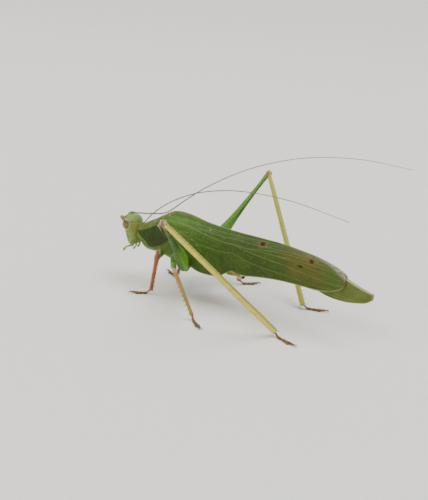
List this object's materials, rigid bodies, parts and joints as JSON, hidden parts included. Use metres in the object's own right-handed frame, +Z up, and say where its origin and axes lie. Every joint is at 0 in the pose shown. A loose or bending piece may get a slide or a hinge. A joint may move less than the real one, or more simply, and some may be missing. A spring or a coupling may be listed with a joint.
{
  "type": "long-horned grasshopper",
  "caption": "Leaf-green long-horned grasshopper standing at rest, wings folded roof-like over its back, long jumping legs bent high and slender feelers swept back; a still life-size model.",
  "frame": {"origin": "middle of the whole outline in plan, on the floor under the feet", "axes": "-X towards the head, +X along the folded wings to their tips, -Y the animal's left side, +Z up"},
  "size_m": [0.053, 0.043, 0.0291],
  "materials": {
    "leaf_green": "satin",
    "wing_green": "satin",
    "body_green": "satin",
    "face_green": "satin",
    "shield_green": "satin",
    "pale_yellow": "satin",
    "reddish": "satin",
    "tan": "satin",
    "eye_amber": "glossy",
    "horn_brown": "satin",
    "mouth_brown": "satin",
    "cercus_orange": "satin"
  },
  "bodies": {
    "root": {"head": "face_green", "labrum": "face_green", "eye_left": "eye_amber", "mandible_left": "mouth_brown", "maxillary_palp_left": "face_green", "labial_palp_left": "face_green", "eye_right": "eye_amber", "mandible_right": "mouth_brown", "maxillary_palp_right": "face_green", "labial_palp_right": "face_green", "antenna_base_left": "face_green", "antenna_1_left": "horn_brown", "antenna_2_left": "horn_brown", "antenna_3_left": "horn_brown", "antenna_base_right": "face_green", "antenna_1_right": "horn_brown", "antenna_2_right": "horn_brown", "antenna_3_right": "horn_brown", "pronotum": "shield_green", "prothorax": "body_green", "thorax": "body_green", "abdomen": "body_green", "subgenital_plate": "leaf_green", "cercus_left": "cercus_orange", "cercus_right": "cercus_orange", "tegmen_left": "wing_green", "hindwing_left": "leaf_green", "tegmen_right": "wing_green", "hindwing_right": "leaf_green", "coxa_front_left": "body_green", "femur_front_left": "reddish", "tibia_front_left": "reddish", "tarsus_front_left": "reddish", "coxa_middle_left": "leaf_green", "femur_middle_left": "body_green", "tibia_middle_left": "tan", "tarsus_middle_left": "tan", "coxa_hind_left": "leaf_green", "femur_hind_left": "body_green", "tibia_hind_left": "pale_yellow", "tarsus_hind_left": "tan", "coxa_front_right": "body_green", "femur_front_right": "reddish", "tibia_front_right": "reddish", "tarsus_front_right": "reddish", "coxa_middle_right": "leaf_green", "femur_middle_right": "body_green", "tibia_middle_right": "tan", "tarsus_middle_right": "tan", "coxa_hind_right": "leaf_green", "femur_hind_right": "body_green", "tibia_hind_right": "pale_yellow", "tarsus_hind_right": "tan"}
  },
  "joints": []
}
